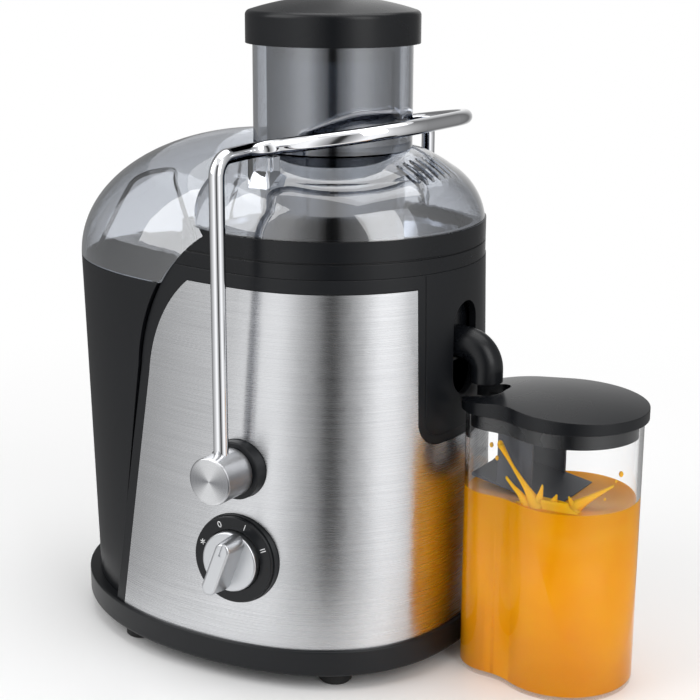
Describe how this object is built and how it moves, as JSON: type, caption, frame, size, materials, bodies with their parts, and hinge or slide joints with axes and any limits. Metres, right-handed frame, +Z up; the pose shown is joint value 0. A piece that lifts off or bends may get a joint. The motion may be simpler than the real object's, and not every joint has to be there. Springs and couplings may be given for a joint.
{
  "type": "centrifugal juicer",
  "caption": "Countertop centrifugal juicer: oval motor base with steel wrap, clear lid with feed chute and pusher, locking bail, pulp container and lidded juice jug.",
  "frame": {"origin": "centre of the whole footprint, on the table, with the jug docked and the pulp container in place", "axes": "+Z up; -Y the front with the speed dial; +X towards the spout and the jug"},
  "size_m": [0.354, 0.2363, 0.364],
  "materials": {
    "black_plastic": "satin moulded",
    "grey_plastic": "matt moulded",
    "smoky_clear": "clear smoky moulded plastic",
    "clear": "clear moulded plastic",
    "brushed_steel": "brushed along the wrap",
    "basket_steel": "bright",
    "chrome": "polished",
    "turned_aluminium": "turned",
    "silver_plastic": "silver painted, satin",
    "rubber": "matt",
    "motor_iron": "laminated",
    "copper": "enamelled wire",
    "bronze": "sintered",
    "carbon": "pressed carbon"
  },
  "bodies": {
    "body": {"base": "black_plastic", "base_plate": "black_plastic", "feet": "rubber", "base_screws": "basket_steel", "cord_gland": "rubber", "housing": "black_plastic", "steel_wrap": "brushed_steel", "spout_panel": "black_plastic", "juice_bowl": "black_plastic", "lid": "smoky_clear", "dial_ring": "black_plastic", "rotary_switch": "grey_plastic", "interlock_switch": "grey_plastic", "stator": "motor_iron", "field_coils": "copper", "lower_bracket": "turned_aluminium", "upper_bracket": "turned_aluminium", "lower_bearing": "bronze", "upper_bearing": "bronze", "motor_dampers": "rubber", "brush_holders": "grey_plastic", "carbon_brushes": "carbon", "shaft_seal": "rubber"},
    "spinner": {"motor_shaft": "basket_steel", "rotor": "motor_iron", "commutator": "copper", "cooling_fan": "grey_plastic", "drive_coupling": "grey_plastic", "filter_basket": "basket_steel", "grater_disc": "basket_steel"},
    "bail": {"bail_rod": "chrome", "pivot_knobs": "turned_aluminium"},
    "pusher": {"pusher_tube": "smoky_clear", "pusher_cap": "black_plastic"},
    "dial": {"dial_knob": "silver_plastic"},
    "jug": {"jug": "clear"},
    "jug_lid": {"jug_lid": "black_plastic", "foam_baffle": "grey_plastic"},
    "pulp_container": {"pulp_container": "black_plastic"}
  },
  "joints": [
    {"name": "drive_spin", "type": "hinge", "parent": "body", "child": "spinner", "pos_m": [-0.01, 0, 0.1], "axis": [0, 0, 1], "continuous": true},
    {"name": "bail_swing", "type": "hinge", "parent": "body", "child": "bail", "pos_m": [-0.01, 0, 0.121], "axis": [0, 1, 0], "range_deg": [0, 50]},
    {"name": "pusher_lift", "type": "slide", "parent": "body", "child": "pusher", "axis": [0, 0, 1], "range_m": [0, 0.14]},
    {"name": "dial_turn", "type": "hinge", "parent": "body", "child": "dial", "pos_m": [-0.01, -0.0962, 0.071], "axis": [0.087, -0.9948, 0.0523], "range_deg": [-45, 90]},
    {"name": "jug_slide", "type": "slide", "parent": "body", "child": "jug", "axis": [1, 0, 0], "range_m": [0, 0.12]},
    {"name": "jug_lid_lift", "type": "slide", "parent": "jug", "child": "jug_lid", "axis": [0, 0, 1], "range_m": [0, 0.046]},
    {"name": "pulp_container_slide", "type": "slide", "parent": "body", "child": "pulp_container", "axis": [-1, 0, 0], "range_m": [0, 0.13]}
  ]
}
